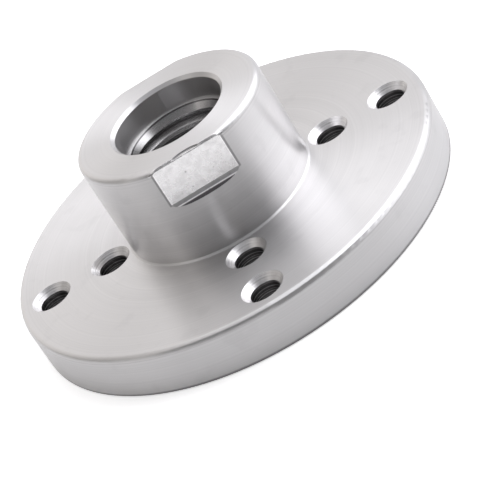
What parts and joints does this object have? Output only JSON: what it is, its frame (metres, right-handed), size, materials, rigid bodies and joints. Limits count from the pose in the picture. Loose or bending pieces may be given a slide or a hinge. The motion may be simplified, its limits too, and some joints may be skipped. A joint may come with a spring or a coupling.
{
  "type": "lathe faceplate",
  "caption": "One-piece turned steel faceplate with a threaded hub, plain register, countersunk screw holes and wrench flats, for holding a wood blank on a lathe spindle.",
  "frame": {"origin": "centre of the flat working face, on the bore's axis", "axes": "+Z along the spindle bore, from the working face to the hub's nose; the wrench flats face -Y and +Y, and the hole pairs lie on the X and Y axes"},
  "size_m": [0.1016, 0.1016, 0.0347],
  "materials": {
    "turned_steel": "bright turned"
  },
  "bodies": {
    "root": {"faceplate": "turned_steel"}
  },
  "joints": []
}
